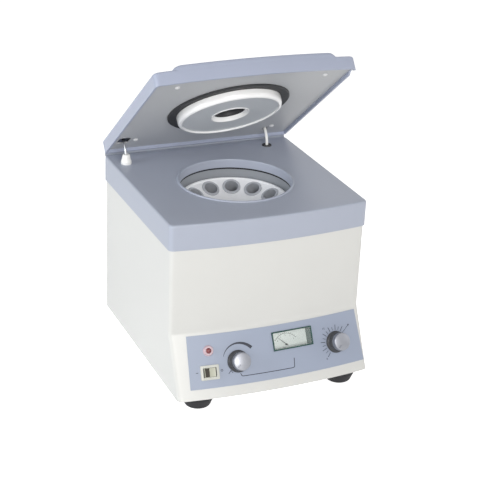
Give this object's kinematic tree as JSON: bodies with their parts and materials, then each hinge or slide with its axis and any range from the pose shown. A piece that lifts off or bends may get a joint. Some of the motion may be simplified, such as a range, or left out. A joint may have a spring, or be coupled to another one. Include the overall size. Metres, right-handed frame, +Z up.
{
  "type": "bench centrifuge",
  "caption": "Bench centrifuge for milk fat tubes: bowed steel case with sloping control panel, hinged lid held open by stays, angled tube rotor in a round chamber.",
  "frame": {"origin": "on the table, under the centre of the object's box with the lid open as at rest", "axes": "+Z up, front with the control panel at -Y, +X to the right seen from the front"},
  "size_m": [0.31, 0.3594, 0.4874],
  "materials": {
    "case_paint": "satin off-white powder coat",
    "rear_paint": "satin powder coat",
    "zinc_plate": "zinc plated",
    "foot_rubber": "matte",
    "screw_steel": "plated",
    "deck_plastic": "moulded, fine grain",
    "hinge_paint": "painted like the deck",
    "lid_plastic": "moulded, fine grain",
    "liner_plastic": "satin",
    "bowl_steel": "drawn sheet",
    "ring_paint": "satin grey",
    "black_rubber": "matte",
    "motor_paint": "dark grey",
    "cast_alloy": "as cast",
    "bearing_steel": "ground",
    "brush_carbon": "moulded holders",
    "armature_copper": "wound",
    "rotor_paint": "white coated casting",
    "sleeve_alloy": "anodised",
    "white_plastic": "white, gloss",
    "plate_plastic": "light grey",
    "bracket_plastic": "mid grey",
    "smoked_plastic": "smoked, near black",
    "hinge_steel": "plated",
    "black_plastic": "moulded",
    "panel_paint": "printed blue-grey plate",
    "lamp_rim": "pale rim",
    "lamp_red": "red lens",
    "switch_ivory": "ivory",
    "rocker_ivory": "ivory",
    "knob_black": "moulded",
    "knob_metal": "turned, satin",
    "meter_green": "dark green",
    "dial_card": "printed card",
    "meter_glass": "clear",
    "needle_black": "thin",
    "board_green": "circuit board",
    "core_steel": "laminated core, varnished"
  },
  "bodies": {
    "case": {"body_shell": "case_paint", "rear_panel": "rear_paint", "base_plate": "zinc_plate", "rubber_feet": "foot_rubber", "foot_screws": "screw_steel", "case_screws": "screw_steel", "deck_cover": "deck_plastic", "deck_screws": "screw_steel", "chamber_bowl": "bowl_steel", "chamber_ring": "ring_paint", "chamber_seal": "black_rubber", "bowl_screws": "screw_steel", "motor_mounts": "foot_rubber", "motor_plate": "zinc_plate", "motor_housing": "motor_paint", "motor_end_bell": "cast_alloy", "motor_bearings": "bearing_steel", "motor_brushes": "brush_carbon", "motor_magnets": "motor_paint", "hinge_deck_leaf": "hinge_paint", "hinge_pin": "hinge_steel", "stay_boot": "white_plastic", "stay_guide": "black_plastic", "control_panel": "panel_paint", "lamp_bezel": "lamp_rim", "lamp_lens": "lamp_red", "switch_frame": "switch_ivory", "speed_control": "black_plastic", "timer_unit": "black_plastic", "control_nuts": "screw_steel", "meter_case": "meter_green", "meter_dial": "dial_card", "meter_window": "meter_glass", "control_board": "board_green", "transformer": "core_steel", "inlet_socket": "black_plastic", "fuse_holder": "black_plastic"},
    "lid": {"lid_shell": "lid_plastic", "lid_liner": "liner_plastic", "liner_screws": "screw_steel", "lid_seal": "black_rubber", "splash_ring": "white_plastic", "splash_plate": "plate_plastic", "sight_funnel": "white_plastic", "sight_window": "smoked_plastic", "hinge_lid_leaf": "hinge_paint", "left_stay_rod": "hinge_steel", "right_stay_rod": "white_plastic", "stay_brackets": "bracket_plastic"},
    "rotor": {"motor_shaft": "bearing_steel", "motor_armature": "armature_copper", "rotor_head": "rotor_paint", "tube_sleeves": "sleeve_alloy", "rotor_nut": "screw_steel"},
    "speed_knob": {"speed_knob_skirt": "knob_black", "speed_knob_cap": "knob_metal"},
    "timer_knob": {"timer_knob_skirt": "knob_black", "timer_knob_cap": "knob_metal"},
    "power_rocker": {"switch_rocker": "rocker_ivory"},
    "needle": {"meter_needle": "needle_black"}
  },
  "joints": [
    {"name": "lid_hinge", "type": "hinge", "parent": "case", "child": "lid", "pos_m": [0, 0.1709, 0.2783], "axis": [-1, 0, 0], "range_deg": [-38.2, 26.5]},
    {"name": "rotor_spin", "type": "hinge", "parent": "case", "child": "rotor", "pos_m": [0, 0.01, 0.217], "axis": [0, 0, 1], "continuous": true},
    {"name": "speed_turn", "type": "hinge", "parent": "case", "child": "speed_knob", "pos_m": [-0.0566, -0.15539, 0.06416], "axis": [0.0472, 0.8932, -0.4472], "range_deg": [0, 270]},
    {"name": "timer_turn", "type": "hinge", "parent": "case", "child": "timer_knob", "pos_m": [0.10469, -0.15086, 0.06595], "axis": [-0.0874, 0.8901, -0.4472], "range_deg": [0, 270]},
    {"name": "power_tilt", "type": "hinge", "parent": "case", "child": "power_rocker", "pos_m": [-0.10107, -0.15584, 0.05371], "axis": [-0.042, -0.4452, -0.8944], "range_deg": [0, 16]},
    {"name": "needle_swing", "type": "hinge", "parent": "case", "child": "needle", "pos_m": [0.02918, -0.13524, 0.06695], "axis": [-0.0282, 0.894, -0.4472], "range_deg": [0, 96], "stiffness_Nm_per_rad": 0.002}
  ]
}
